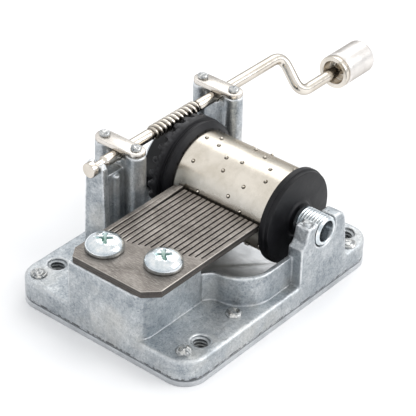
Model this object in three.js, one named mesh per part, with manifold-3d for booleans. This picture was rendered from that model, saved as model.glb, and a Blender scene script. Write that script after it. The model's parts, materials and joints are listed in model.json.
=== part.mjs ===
// Hand-cranked music movement: a die-cast frame carries a tuned steel comb, a pinned
// drum on its axle, and a crank shaft whose worm drives the drum's crown gear.
//
// Millimetres, +Z up. The origin is the centre of the underside. +X runs along the drum
// from its gear to its plain end, and +Y runs along the comb's teeth towards the drum
// and along the crank shaft towards its handle.

import * as THREE from 'three';
import { mergeVertices } from 'three/addons/utils/BufferGeometryUtils.js';
import Module from 'manifold-3d';

const wasm = await Module();
wasm.setup();

// ---------------------------------------------------------------- driving dimensions

// Die-cast base flange and the sheet plate under it
const BASE = { halfX: 17.7, halfY: 22.95, corner: 4, plate: 0.95, top: 4.6, edge: 0.3 };

// Block that the comb is screwed to; its rear face follows the roots of the teeth
const PLATFORM = {
  x0: -6.2, x1: 8.5, y0: -22.95, rearLeft: -13.4, rearRight: -9.2, top: 12.7, corner: 2.3,
};

// Steel comb
const COMB = {
  x0: -6.45, x1: 10.45, y0: -22.75, tipY: 1.87, thickness: 1.3, teeth: 18,
  slot: 0.2, rootLeft: -14.6, rootRight: -10.2, rootCornerX: -1.2,
  chamferLeft: 1.2, chamferRight: 2.2, sideChamfer: 1.8,
};
const LEAD_WEIGHTS = {
  count: 5, width: 0.62, height: 1.7, length: 3.4, setback: 0.5, step: 0.22, slant: 0.4, toe: 0.7,
};

// Comb screws, M3 with pan heads
const SCREWS = [
  { name: 'comb_screw_left', x: -3.0, y: -18.1 },
  { name: 'comb_screw_right', x: 6.3, y: -15.4 },
];
const SCREW = {
  head: 3.05, headHeight: 1.9, rim: 0.12, shank: 1.45, tip: 0.5, tipZ: 6.4, hole: 1.5, combHole: 1.7,
  holeDepth: 0.8, recessLength: 3.2, recessWidth: 0.62, recessDepth: 1.1, recessTurn: Math.PI / 5,
};
// Pan head's dome, as shares of its height and radius
const SCREW_DOME = [[0.22, 1], [0.5, 0.95], [0.78, 0.8], [0.94, 0.58], [1, 0.34]];

// Drum, its two plastic ends and its axle
const DRUM = { y: 9.4, z: 12.3, r: 7.15, x0: -7.3, x1: 10.65, wall: 0.6 };
const PIN = { r: 0.21, height: 0.32, perTrack: 3, sides: 5 };
// How far the melody turns from one track to the next, and how unevenly its notes fall
const MELODY = { perTrack: 0.618, sway: 0.09, trackBeat: 3.1, noteBeat: 5.3 };
const DISC = { r: 7.9, frontR: 7.62, band: 0.9, x1: 12.3, hub: 3.0, boss: 0.3, edge: 0.15 };
const SPIGOT = 1.6; // how far each plastic end reaches into the drum
const GEAR = {
  teeth: 24, r: 8.55, toothInner: 6.7, flangeR: 8.35, tipX: -11.66, rootX: -10.2, rimX: -8.0,
  web: 1.2, core: 6.2, hubX: -14.15, tipFlat: 0.26, flank: 0.62, chamferR: 7.75, chamfer: 0.5,
  grooveX0: -9.15, grooveX1: -8.45, grooveDepth: 0.4, grooveSide: 0.15, lip: 0.35,
};
const AXLE = { r: 1.65, bore: 1.7, x0: -16.1, x1: 15.4, chamfer: 0.25 };

// Crank shaft: its worm is two-start and right-handed, and one turn moves the gear one tooth
const SHAFT = { x: -12.65, z: 20.1, r: 0.95, bore: 1.0, sides: 14 };
const WORM = {
  y0: 3.0, y1: 14.2, r: 1.22, core: 0.84, starts: 2, crest: 0.34, flank: 0.18, runout: 0.5, relief: 0.4,
  rows: 56,
};
const HEAD = { y0: -11.2, y1: -10.1, r: 1.25, neckR: 0.62, neckY1: -8.0, underside: 0.15, shoulder: 0.3 };
const CRANK = {
  bendY: 36.5, armX: 4.3, armZ: -5.7, bend: 2.4, endY: 51.2, endHead: 1.3, endHeadLength: 0.7,
  joinY: 27.5, overlap: 1, steps: 30,
};

// Turned knob that spins on the end of the crank
const KNOB = {
  y0: 45.7, y1: 53.9, r: 2.95, wall: 0.4, ring: 0.85, groove: 0.3, mouth: 2.1, mouthDepth: 1.9, bore: 1.0,
  bearing: 3.4, endWall: 0.6, edge: 0.15,
};

// Uprights of the frame
const POST = { r: 1.6, spacing: 6.5, frontY: -3.9, rearY: 19.75, top: 21.1, webHalf: 1, webDrop: 0.2 };
const CAP = { thickness: 0.8, lobe: 1.5, hole: 0.62, edge: 0.12 };
const RIVET = { shank: 0.6, head: 0.9, height: 0.55, depth: 1.6 };
const END_PLATE = {
  y0: -9.9, y1: -8.7, topHalf: 1.85, footHalf: 2.45, top: 20.75, notch: 0.72, bevelDown: 0.5, bevelIn: 0.4,
};
// Low web that ties the end plate to the front posts, with a half-round rib on its side
const SHAFT_WEB = { x: -12.4, half: 1.2, top: 18.4, ribR: 0.7, ribY: -6.6, ribTop: 17.9 };
const BRACKET = {
  x0: 15.0, x1: 17.7, y0: 3.6, y1: 15.4, frontLedge: 11.4, frontSlopeY: 4.6, frontSlopeZ: 12.1,
  frontEarY0: 5.2, frontEarY1: 7.7, throatY0: 6.7, throatY1: 12.1, rearEarY0: 11.5, rearEarY1: 12.7,
  earTop: 14.5, rearEarTop: 13.9, waistZ: 7.7, shoulderZ: 12.0, taper: 0.4,
};
const BUSHING = { x0: 13.0, x1: 17.95, r: 2.45, seat: 2.66, lead: 0.2, bevel: 0.3, mouth: 0.15 };
const CURB = { thickness: 0.9, top: 9.6, outerX: 15.85, outerY: -7.3, bend: 5.2, run: 1.9, steps: 30 };
const LEFT_WALL = { x0: -16.6, x1: -14.3, top: 11.0, boss: 3.1 };
const WELL = { left: -13.1, front: -12.2, step: -8.2, frontRight: -8.0, besidePosts: 0.6, rearGap: 0.15 };

// Threaded holes of the flange, M3, and the studs that hold the sheet plate on
const FLANGE_HOLES = [[-14.6, -16.4], [14.6, -16.5], [13.9, 20.3]];
const FLANGE_HOLE_R = 1.5;
const BASE_RIVETS = {
  base_rivet_front_left: [-14.9, -20.3],
  base_rivet_front_right: [14.4, -20.0],
  base_rivet_middle_right: [14.1, -8.1],
  base_rivet_rear_right: [16.2, 18.0],
};
const BASE_RIVET = { shank: 0.8, head: 1.3, height: 0.4, rim: 0.4, crown: 0.7 };
const PLATE_CLEARANCE = 0.15; // how much wider the sheet plate's holes are than the threaded ones

// Facets round a full circle, and the gap left between two pieces that touch
const SMALL = 16;
const RIVET_FACETS = 20;
const ROUND = 24;
const FINE = 36;
const DRUM_FACETS = 48;
const GAP = 0.02;

const DEEP = 1; // how far a cutting tool or a joined foot reaches past its surface
const TURN = 2 * Math.PI;

// ------------------------------------------------------------------------- solids

function solidOf(geometry) {
  const bare = geometry.clone();
  bare.deleteAttribute('normal');
  bare.deleteAttribute('uv');
  const merged = mergeVertices(bare, 1e-4);
  return new wasm.Manifold(new wasm.Mesh({
    numProp: 3,
    vertProperties: new Float32Array(merged.attributes.position.array),
    triVerts: new Uint32Array(merged.index.array),
  }));
}

function geometryOf(solid) {
  const { vertProperties, triVerts } = solid.getMesh();
  const geometry = new THREE.BufferGeometry();
  geometry.setAttribute('position', new THREE.BufferAttribute(new Float32Array(vertProperties), 3));
  geometry.setIndex(new THREE.BufferAttribute(new Uint32Array(triVerts), 1));
  geometry.computeVertexNormals();
  return geometry;
}

const join = (...solids) => solids.reduce((sum, solid) => sum.add(solid));
const cut = (body, ...tools) => tools.reduce((rest, tool) => rest.subtract(tool), body);

function block(x0, x1, y0, y1, z0, z1) {
  const box = new THREE.BoxGeometry(x1 - x0, y1 - y0, z1 - z0);
  return solidOf(box.translate((x0 + x1) / 2, (y0 + y1) / 2, (z0 + z1) / 2));
}

// An outline in X and Y, raised from z0 to z1
function raise(shape, z0, z1, edge = 0) {
  const extruded = new THREE.ExtrudeGeometry(shape, {
    depth: z1 - z0 - 2 * edge, curveSegments: 8, bevelEnabled: edge > 0,
    bevelThickness: edge, bevelSize: edge, bevelOffset: -edge, bevelSegments: 1,
  });
  return solidOf(extruded.translate(0, 0, z0 + edge));
}

// A profile of [along, radius] points turned about an axis that runs along Z, X or Y
function turned(profile, facets = ROUND) {
  return new THREE.LatheGeometry(profile.map(([along, r]) => new THREE.Vector2(r, along)), facets)
    .rotateX(Math.PI / 2);
}
const alongZ = (geometry, x, y) => solidOf(geometry.translate(x, y, 0));
const alongX = (geometry, y, z) => solidOf(geometry.rotateY(Math.PI / 2).translate(0, y, z));
const alongY = (geometry, x, z) => solidOf(geometry.rotateX(-Math.PI / 2).translate(x, 0, z));

const rod = (r, from, to) => [[from, 0], [from, r], [to, r], [to, 0]];
const chamferedRod = (r, from, to, c) => [
  [from, 0], [from, r - c], [from + c, r], [to - c, r], [to, r - c], [to, 0],
];

function rectangle(x0, x1, y0, y1, corner) {
  const shape = new THREE.Shape();
  shape.moveTo(x0 + corner, y0);
  shape.lineTo(x1 - corner, y0);
  shape.absarc(x1 - corner, y0 + corner, corner, -Math.PI / 2, 0);
  shape.lineTo(x1, y1 - corner);
  shape.absarc(x1 - corner, y1 - corner, corner, 0, Math.PI / 2);
  shape.lineTo(x0 + corner, y1);
  shape.absarc(x0 + corner, y1 - corner, corner, Math.PI / 2, Math.PI);
  shape.lineTo(x0, y0 + corner);
  shape.absarc(x0 + corner, y0 + corner, corner, Math.PI, 1.5 * Math.PI);
  return shape;
}

const outline = (points) => new THREE.Shape(points.map(([x, y]) => new THREE.Vector2(x, y)));

// --------------------------------------------------------------------- die-cast frame

const baseOutline = () => rectangle(-BASE.halfX, BASE.halfX, -BASE.halfY, BASE.halfY, BASE.corner);

function platform() {
  const { x0, x1, y0, rearLeft, rearRight, top, corner } = PLATFORM;
  const shape = new THREE.Shape();
  shape.moveTo(x0, y0);
  shape.lineTo(x1 - corner, y0);
  shape.absarc(x1 - corner, y0 + corner, corner, -Math.PI / 2, 0);
  shape.lineTo(x1, rearRight);
  shape.lineTo(x0, rearLeft);
  return raise(shape, BASE.plate + BASE.edge, top);
}

// Centre line of the thin curb that runs round the well from the platform to the bracket
function curbLine() {
  const { thickness, outerX, outerY, bend } = CURB;
  const x = outerX - thickness / 2;
  const y = outerY + thickness / 2;
  const path = new THREE.Path();
  path.moveTo(PLATFORM.x1 - DEEP, PLATFORM.rearRight - CURB.thickness * 2 / 3);
  path.quadraticCurveTo(PLATFORM.x1 + 0.2, y, PLATFORM.x1 + CURB.run, y);
  path.lineTo(x - bend, y);
  path.absarc(x - bend, y + bend, bend, -Math.PI / 2, 0);
  path.lineTo(x, BRACKET.y0 + DEEP);
  return path.getSpacedPoints(CURB.steps);
}

function curb() {
  const line = curbLine();
  const side = (sign) => line.map((point, i) => {
    const before = line[Math.max(i - 1, 0)];
    const after = line[Math.min(i + 1, line.length - 1)];
    const along = after.clone().sub(before).normalize();
    const half = sign * CURB.thickness / 2;
    return [point.x - along.y * half, point.y + along.x * half];
  });
  return raise(outline([...side(-1), ...side(1).reverse()]), BASE.top - DEEP, CURB.top);
}

// Well under the drum, open down to the sheet plate
function well() {
  const line = curbLine().filter((point) => point.x > PLATFORM.x1).map((point) => [point.x, point.y]);
  const rear = POST.rearY - POST.r + WELL.rearGap;
  const front = POST.frontY + POST.r + WELL.besidePosts;
  const right = BRACKET.x0 - 0.1;
  return raise(outline([
    [WELL.step, WELL.front], [PLATFORM.x1 - 0.5, WELL.frontRight], ...line, [right, BRACKET.y0],
    [right, rear], [WELL.left, rear], [WELL.left, front], [WELL.step, front],
  ]), 0, BASE.top + DEEP);
}

// Upright that cradles the threaded bushing: a low front ear and a taller rear ear
function bracket() {
  const {
    x0, x1, y0, y1, frontLedge, frontSlopeY, frontSlopeZ, frontEarY0, frontEarY1, throatY0, throatY1,
    rearEarY0, rearEarY1, earTop, rearEarTop, waistZ, shoulderZ, taper,
  } = BRACKET;
  const shape = new THREE.Shape();
  shape.moveTo(y0, BASE.top - DEEP);
  shape.lineTo(y1, BASE.top - DEEP);
  shape.lineTo(y1 - taper, waistZ);
  shape.lineTo(y1 - 2 * taper, shoulderZ);
  shape.quadraticCurveTo(y1 - 3 * taper, rearEarTop, rearEarY1, rearEarTop);
  shape.lineTo(rearEarY0, rearEarTop);
  shape.lineTo(throatY1, DRUM.z);
  shape.lineTo(throatY0, DRUM.z);
  shape.lineTo(frontEarY1, earTop);
  shape.lineTo(frontEarY0, earTop);
  shape.lineTo(frontSlopeY, frontSlopeZ);
  shape.lineTo(y0, frontLedge);
  const upright = new THREE.ExtrudeGeometry(shape, {
    depth: x1 - x0, curveSegments: 6, bevelEnabled: false,
  });
  return solidOf(upright.rotateX(Math.PI / 2).rotateZ(Math.PI / 2).translate(x0, 0, 0));
}

// Tapered plate at the shaft's free end; its notch holds the shaft's neck
function endPlate() {
  const { y0, y1, topHalf, footHalf, top, notch, bevelDown, bevelIn } = END_PLATE;
  const shape = new THREE.Shape();
  shape.moveTo(-footHalf, BASE.top - DEEP);
  shape.lineTo(footHalf, BASE.top - DEEP);
  shape.lineTo(topHalf, top - bevelDown);
  shape.lineTo(topHalf - bevelIn, top);
  shape.lineTo(notch, top);
  shape.lineTo(notch, SHAFT.z);
  shape.absarc(0, SHAFT.z, notch, 0, -Math.PI, true);
  shape.lineTo(-notch, top);
  shape.lineTo(bevelIn - topHalf, top);
  shape.lineTo(-topHalf, top - bevelDown);
  const plate = new THREE.ExtrudeGeometry(shape, {
    depth: y1 - y0, curveSegments: 6, bevelEnabled: false,
  });
  return solidOf(plate.rotateX(Math.PI / 2).translate(SHAFT.x, y1, 0));
}

const postPlaces = (y) => [-1, 1].map((side) => [SHAFT.x + side * POST.spacing / 2, y]);

// Two posts and the web between them, hollowed for the shaft that lies in it
function postPair(y) {
  const { r, spacing, top, webHalf, webDrop } = POST;
  const foot = BASE.top - DEEP;
  const posts = postPlaces(y).map(([x]) => alongZ(turned(rod(r, foot, top)), x, y));
  const web = block(
    SHAFT.x - spacing / 2, SHAFT.x + spacing / 2, y - webHalf, y + webHalf, foot, SHAFT.z - webDrop);
  return join(...posts, web);
}

// Straight round hole along Z
const hole = (r, z0, z1, [x, y], facets = SMALL) => alongZ(turned(rod(r, z0, z1), facets), x, y);

function leftWall() {
  const { x0, x1, top, boss } = LEFT_WALL;
  return join(
    block(x0, x1, POST.frontY, POST.rearY, BASE.top - DEEP, top),
    alongX(turned(rod(boss, x0, x1)), DRUM.y, DRUM.z),
  );
}

function shaftWeb() {
  const { x, half, top, ribR, ribY, ribTop } = SHAFT_WEB;
  const foot = BASE.top - DEEP;
  const web = block(x - half, x + half, END_PLATE.y1 - 0.5, POST.frontY, foot, top);
  return join(web, alongZ(turned(rod(ribR, foot, ribTop), SMALL), x + half, ribY));
}

function castFrame() {
  const { frontY, rearY, top, r } = POST;
  const body = join(
    cut(raise(baseOutline(), BASE.plate, BASE.top, BASE.edge), well()),
    platform(), curb(), bracket(), endPlate(), leftWall(), shaftWeb(), postPair(frontY), postPair(rearY),
  );
  const spigots = [frontY, rearY].flatMap(postPlaces);
  const saddle = alongY(turned(rod(SHAFT.bore, frontY - 2 * r, rearY + 2 * r)), SHAFT.x, SHAFT.z);
  const slot = (y) => block(
    SHAFT.x - SHAFT.bore, SHAFT.x + SHAFT.bore, y - 2 * r, y + 2 * r, SHAFT.z, top + DEEP);
  const axleHole = rod(AXLE.bore, LEFT_WALL.x0 - DEEP, LEFT_WALL.x1 + DEEP);
  const bushingSeat = rod(BUSHING.seat, BRACKET.x0 - DEEP, BRACKET.x1 + DEEP);
  return cut(
    body,
    alongX(turned(axleHole), DRUM.y, DRUM.z), alongX(turned(bushingSeat), DRUM.y, DRUM.z),
    saddle, slot(frontY), slot(rearY),
    ...spigots.map((spot) => hole(RIVET.shank + GAP, top - RIVET.depth, top + DEEP, spot)),
    ...FLANGE_HOLES.map((spot) => hole(FLANGE_HOLE_R, 0, BASE.top + DEEP, spot)),
    ...SCREWS.map(({ x, y }) => (
      hole(SCREW.hole, SCREW.tipZ - SCREW.holeDepth, PLATFORM.top + DEEP, [x, y]))),
    ...Object.values(BASE_RIVETS).map((spot) => hole(BASE_RIVET.shank + GAP, 0, BASE.top + DEEP, spot)),
  );
}

function bottomPlate() {
  return cut(
    raise(baseOutline(), 0, BASE.plate),
    ...FLANGE_HOLES.map((spot) => hole(FLANGE_HOLE_R + PLATE_CLEARANCE, -DEEP, BASE.top, spot, ROUND)),
    ...Object.values(BASE_RIVETS).map((spot) => hole(BASE_RIVET.shank + GAP, -DEEP, BASE.top, spot)),
  );
}

function baseRivet([x, y]) {
  const { shank, head, height, rim, crown } = BASE_RIVET;
  const z = BASE.top + GAP;
  return alongZ(turned([
    [GAP, 0], [GAP, shank], [z, shank], [z, head], [z + height * rim, head],
    [z + height, head * crown], [z + height, 0],
  ], RIVET_FACETS), x, y);
}

// ------------------------------------------------------------------------------ comb

const pitch = (COMB.x1 - COMB.x0) / COMB.teeth;
const toothX = (i) => COMB.x0 + (i + 0.5) * pitch;
// The roots step back from the bass teeth to the treble teeth
const rootY = (x) => THREE.MathUtils.mapLinear(
  Math.max(x, COMB.rootCornerX), COMB.rootCornerX, COMB.x1, COMB.rootLeft, COMB.rootRight);

function comb() {
  const { x0, x1, y0, tipY, thickness, teeth, slot, chamferLeft, chamferRight, sideChamfer } = COMB;
  const z0 = PLATFORM.top;
  const blank = raise(outline([
    [x0 + chamferLeft, y0], [x1 - chamferRight, y0], [x1, y0 + chamferRight], [x1, tipY], [x0, tipY],
    [x0, y0 + sideChamfer],
  ]), z0, z0 + thickness);
  const slots = [];
  for (let i = 1; i < teeth; i += 1) {
    const x = x0 + i * pitch;
    const [left, right] = [x - slot / 2, x + slot / 2];
    slots.push(block(left, right, rootY(x), tipY + DEEP, z0 - DEEP, z0 + thickness + DEEP));
  }
  const holes = SCREWS.map(({ x, y }) => (
    hole(SCREW.combHole, z0 - DEEP, z0 + thickness + DEEP, [x, y], ROUND)));
  return cut(blank, ...slots, ...holes);
}

// Lead block under the free end of a bass tooth, each shorter than the one before
function leadWeight(i) {
  const { width, height, length, setback, step, slant, toe } = LEAD_WEIGHTS;
  const x = toothX(i);
  const rear = COMB.tipY - setback;
  const front = rear - length * (1 - i * step / 2);
  const top = PLATFORM.top - GAP;
  const foot = top - height * (1 - i * step);
  const side = outline([[rear, top], [front, top], [front + slant, foot], [rear - toe, foot]]);
  const weight = new THREE.ExtrudeGeometry(side, { depth: width, bevelEnabled: false });
  return solidOf(weight.rotateX(Math.PI / 2).rotateZ(Math.PI / 2).translate(x - width / 2, 0, 0));
}

function combScrew({ x, y }) {
  const {
    head, headHeight, rim, shank, tip, tipZ, recessLength, recessWidth, recessDepth, recessTurn,
  } = SCREW;
  const z = PLATFORM.top + COMB.thickness + GAP;
  const screw = alongZ(turned([
    [tipZ, 0], [tipZ, shank - tip], [tipZ + tip, shank], [z, shank], [z, head - rim],
    ...SCREW_DOME.map(([up, out]) => [z + up * headHeight, out * head]), [z + headHeight, 0],
  ]), x, y);
  const recess = [0, Math.PI / 2].map((angle) => {
    const bar = new THREE.BoxGeometry(recessLength, recessWidth, 2 * recessDepth);
    return solidOf(bar.rotateZ(angle + recessTurn).translate(x, y, z + headHeight));
  });
  return cut(screw, ...recess);
}

// ------------------------------------------------------------------------------ drum

function drumTube() {
  const { x0, x1, r, wall, y, z } = DRUM;
  const section = [[x0, r], [x1, r], [x1, r - wall], [x0, r - wall], [x0, r]];
  const tube = alongX(turned(section, DRUM_FACETS), y, z);
  const pins = [];
  for (let track = 0; track < COMB.teeth; track += 1) {
    for (let note = 0; note < PIN.perTrack; note += 1) {
      const sway = MELODY.sway * Math.sin(MELODY.trackBeat * track + MELODY.noteBeat * note);
      const spread = note / PIN.perTrack + MELODY.perTrack * track + sway;
      const pin = new THREE.CylinderGeometry(PIN.r, PIN.r, wall / 2 + PIN.height, PIN.sides);
      pin.translate(0, r + (PIN.height - wall / 2) / 2, 0).rotateX(spread * TURN);
      pins.push(solidOf(pin.translate(toothX(track), y, z)));
    }
  }
  return join(tube, ...pins);
}

// One gap between two crown teeth, with sloping flanks, open outwards
function toothGap(i) {
  const { teeth, r, toothInner, tipX, rootX, tipFlat, flank } = GEAR;
  const step = TURN / teeth;
  const open = ((SHAFT.z - DRUM.z) * step - tipFlat) / 2;
  const section = outline([
    [DEEP - tipX, -open], [DEEP - tipX, open], [-tipX, open], [-rootX, open - flank],
    [-rootX, flank - open], [-tipX, -open],
  ]);
  const tool = new THREE.ExtrudeGeometry(section, { depth: r - toothInner + DEEP, bevelEnabled: false });
  tool.rotateZ(Math.PI).translate(0, 0, toothInner).rotateX((i + 0.5) * step);
  return solidOf(tool.translate(0, DRUM.y, DRUM.z));
}

function gearCap() {
  const {
    teeth, r, toothInner, flangeR, tipX, rimX, web, core, hubX, chamferR, chamfer,
    grooveX0, grooveX1, grooveDepth, grooveSide, lip,
  } = GEAR;
  const spigot = DRUM.r - DRUM.wall - GAP;
  const seat = DRUM.x0 - GAP;
  const end = seat + SPIGOT;
  const cap = alongX(turned([
    [hubX, AXLE.bore], [hubX, core], [tipX, core], [tipX, toothInner],
    [tipX, chamferR], [tipX + chamfer, r], [grooveX0, r], [grooveX0 + grooveSide, r - grooveDepth],
    [grooveX1 - grooveSide, r - grooveDepth], [grooveX1, flangeR], [rimX, flangeR], [seat, DRUM.r + lip],
    [seat, spigot], [end, spigot], [end, spigot - web], [end - web, spigot - web],
    [end - web, AXLE.bore], [hubX, AXLE.bore],
  ], FINE), DRUM.y, DRUM.z);
  return cut(cap, ...Array.from({ length: teeth }, (_, i) => toothGap(i)));
}

function endDisc() {
  const { r, frontR, band, x1, hub, boss, edge } = DISC;
  const x0 = DRUM.x1 + GAP;
  const spigot = DRUM.r - DRUM.wall - GAP;
  return alongX(turned([
    [x0 - SPIGOT, AXLE.bore], [x0 - SPIGOT, spigot], [x0, spigot], [x0, r], [x0 + band, r],
    [x0 + band + 0.1, frontR], [x1 - edge, frontR], [x1, frontR - edge], [x1, hub],
    [x1 + boss, hub - boss], [x1 + boss, AXLE.bore], [x0 - SPIGOT, AXLE.bore],
  ], FINE), DRUM.y, DRUM.z);
}

function drumAxle() {
  const { r, x0, x1, chamfer } = AXLE;
  return alongX(turned(chamferedRod(r, x0, x1, chamfer)), DRUM.y, DRUM.z);
}

// Hollow bushing; the drum's axle turns in its bore
function threadedBushing() {
  const { x0, x1, r, lead, bevel, mouth } = BUSHING;
  return alongX(turned([
    [x0, AXLE.bore], [x0, r - lead], [x0 + lead, r], [x1 - bevel, r], [x1, r - bevel],
    [x1, AXLE.bore + mouth], [x1 - mouth, AXLE.bore], [x0, AXLE.bore],
  ]), DRUM.y, DRUM.z);
}

// ------------------------------------------------------------------------ crank shaft

// Radius of the worm at a place along the shaft and round it; a gear tooth sits in a groove at rest
function wormR(y, angle) {
  const { y0, y1, r, core, starts, crest, flank, runout } = WORM;
  const lead = (SHAFT.z - DRUM.z) * TURN / GEAR.teeth;
  const phase = ((y - DRUM.y) / lead - angle / TURN + 1 / 4) * starts + 1 / 2;
  const fromCrest = Math.abs(phase - Math.round(phase)) * lead / starts;
  const end = Math.min((y - y0) / runout, (y1 - y) / runout, 1);
  return THREE.MathUtils.lerp(core, r, THREE.MathUtils.clamp((crest - fromCrest) / flank, 0, 1) * end);
}

// Straight length of the shaft, with the worm's crests raised on it by moving its vertices
function wormedShaft() {
  const { y0, y1, core, relief, rows } = WORM;
  const profile = [
    [HEAD.y0, 0], [HEAD.y0, HEAD.r], [HEAD.y1, HEAD.r], [HEAD.y1 + HEAD.underside, HEAD.neckR],
    [HEAD.neckY1, HEAD.neckR], [HEAD.neckY1 + HEAD.shoulder, SHAFT.r], [y0 - relief, SHAFT.r],
  ];
  for (let i = 0; i <= rows; i += 1) profile.push([THREE.MathUtils.lerp(y0, y1, i / rows), core]);
  const joinY = CRANK.joinY + CRANK.overlap;
  profile.push([y1 + relief, SHAFT.r], [joinY, SHAFT.r], [joinY, 0]);
  const shaft = turned(profile, SHAFT.sides).rotateX(-Math.PI / 2);
  const p = shaft.attributes.position;
  for (let i = 0; i < p.count; i += 1) {
    const y = p.getY(i);
    if (y < y0 || y > y1) continue;
    const angle = Math.atan2(p.getX(i), p.getZ(i));
    const r = wormR(y, angle);
    p.setXYZ(i, r * Math.sin(angle), y, r * Math.cos(angle));
  }
  return solidOf(shaft.translate(SHAFT.x, 0, SHAFT.z));
}

// The crank's route: along the shaft, down the arm, and out to the knob
function crankPath() {
  const { bendY, armX, armZ, bend, endY, joinY } = CRANK;
  const at = (x, y, z) => new THREE.Vector3(SHAFT.x + x, y, SHAFT.z + z);
  const reach = Math.hypot(armX, armZ);
  const near = bend / reach;
  const arm = (t) => at(armX * t, bendY, armZ * t);
  const path = new THREE.CurvePath();
  path.add(new THREE.LineCurve3(at(0, joinY, 0), at(0, bendY - bend, 0)));
  path.add(new THREE.QuadraticBezierCurve3(at(0, bendY - bend, 0), arm(0), arm(near)));
  path.add(new THREE.LineCurve3(arm(near), arm(1 - near)));
  path.add(new THREE.QuadraticBezierCurve3(arm(1 - near), arm(1), at(armX, bendY + bend, armZ)));
  path.add(new THREE.LineCurve3(at(armX, bendY + bend, armZ), at(armX, endY, armZ)));
  return path;
}

function crankShaft() {
  const { armX, armZ, endY, endHead, endHeadLength, steps } = CRANK;
  const section = new THREE.Shape().absarc(0, 0, SHAFT.r, 0, TURN);
  const bent = new THREE.ExtrudeGeometry(section, {
    steps, curveSegments: SHAFT.sides, extrudePath: crankPath(),
  });
  const head = turned(rod(endHead, endY - endHeadLength / 3, endY + endHeadLength));
  return join(wormedShaft(), solidOf(bent), alongY(head, SHAFT.x + armX, SHAFT.z + armZ));
}

const onKnob = (profile) => alongY(turned(profile, FINE), SHAFT.x + CRANK.armX, SHAFT.z + CRANK.armZ);

// Bearing sleeve with the knob's open mouth; the crank's upset end keeps it on
function knobCollar() {
  const { y0, r, wall, ring, groove, mouth, mouthDepth, bore, bearing, edge } = KNOB;
  const inner = r - wall - GAP;
  const end = CRANK.endY - CRANK.endHeadLength / 3 - GAP;
  return onKnob([
    [y0, mouth], [y0, r - edge], [y0 + edge, r], [y0 + ring, r], [y0 + ring, inner],
    [y0 + ring + groove, inner], [end, inner], [end, bore], [end - bearing, bore],
    [y0 + mouthDepth, mouth], [y0, mouth],
  ]);
}

// Closed outer shell, pressed over the sleeve
function knobShell() {
  const { y0, y1, r, wall, ring, groove, endWall, edge } = KNOB;
  const open = y0 + ring + groove;
  return onKnob([
    [open, r - wall], [open, r - edge], [open + edge, r], [y1 - endWall, r],
    [y1 - endWall / 3, r - endWall / 3], [y1, r - endWall], [y1, 0], [y1 - endWall, 0],
    [y1 - endWall, r - wall], [open, r - wall],
  ]);
}

// --------------------------------------------------------------------------- cap straps

function capPlate(y) {
  const { thickness, lobe, edge } = CAP;
  const half = POST.spacing / 2;
  const z = POST.top + GAP;
  const shape = new THREE.Shape();
  shape.absarc(SHAFT.x + half, y, lobe, -Math.PI / 2, Math.PI / 2);
  shape.absarc(SHAFT.x - half, y, lobe, Math.PI / 2, 1.5 * Math.PI);
  return cut(
    raise(shape, z, z + thickness, edge),
    ...postPlaces(y).map((spot) => hole(CAP.hole, z - DEEP, z + thickness + DEEP, spot)),
  );
}

function capRivet(x, y) {
  const { shank, head, height, depth } = RIVET;
  const z = POST.top + 2 * GAP + CAP.thickness;
  const foot = POST.top - depth + shank / 6;
  return alongZ(turned([
    [foot, 0], [foot, shank], [z, shank], [z, head], [z + height * 0.55, head * 0.92],
    [z + height, head * 0.55], [z + height, 0],
  ], RIVET_FACETS), x, y);
}

// -------------------------------------------------------------------------- assembly

const look = (color, roughness, metalness) => ({ color, roughness, metalness });
const LOOKS = {
  zinc: look(0xa9b0b5, 0.5, 0.85),
  sheet: look(0xb4b8ba, 0.45, 0.85),
  combSteel: look(0x8f877f, 0.42, 0.9),
  screwZinc: look(0xdfe6e8, 0.2, 1),
  nickel: look(0xd9d2c4, 0.22, 1),
  plastic: look(0x17171a, 0.45, 0),
  lead: look(0x6c7076, 0.6, 0.7),
  steel: look(0xbfc3c4, 0.3, 1),
};

const movement = new THREE.Group();
const drumGroup = new THREE.Group();
const crankGroup = new THREE.Group();
const knobGroup = new THREE.Group();
crankGroup.add(knobGroup);
movement.add(drumGroup, crankGroup);

function place(name, solid, style, group = movement) {
  const mesh = new THREE.Mesh(geometryOf(solid), new THREE.MeshStandardMaterial(LOOKS[style]));
  mesh.name = name;
  group.add(mesh);
}

place('cast_frame', castFrame(), 'zinc');
place('bottom_plate', bottomPlate(), 'sheet');
Object.entries(BASE_RIVETS).forEach(([name, spot]) => place(name, baseRivet(spot), 'zinc'));
place('comb', comb(), 'combSteel');
for (let i = 0; i < LEAD_WEIGHTS.count; i += 1) {
  place(`lead_weight_${i + 1}`, leadWeight(i), 'lead');
}
SCREWS.forEach((screw) => place(screw.name, combScrew(screw), 'screwZinc'));
place('threaded_bushing', threadedBushing(), 'screwZinc');
for (const [end, y] of [['front', POST.frontY], ['rear', POST.rearY]]) {
  place(`cap_plate_${end}`, capPlate(y), 'nickel');
  postPlaces(y).forEach(([x], i) => {
    place(`cap_rivet_${end}_${['outer', 'inner'][i]}`, capRivet(x, y), 'zinc');
  });
}
place('drum_tube', drumTube(), 'nickel', drumGroup);
place('gear_cap', gearCap(), 'plastic', drumGroup);
place('end_disc', endDisc(), 'plastic', drumGroup);
place('drum_axle', drumAxle(), 'steel', drumGroup);
place('crank_shaft', crankShaft(), 'nickel', crankGroup);
place('knob_collar', knobCollar(), 'nickel', knobGroup);
place('knob_shell', knobShell(), 'nickel', knobGroup);

export default movement;
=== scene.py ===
"""Looks of the hand-cranked music movement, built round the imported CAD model.

Shapes are modelled in millimetres in the CAD frame and scaled to metres as they are placed.
"""

import json
import math

import bmesh
import bpy
import numpy as np
from mathutils import Matrix, Vector, noise
from mathutils.geometry import tessellate_polygon


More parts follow.
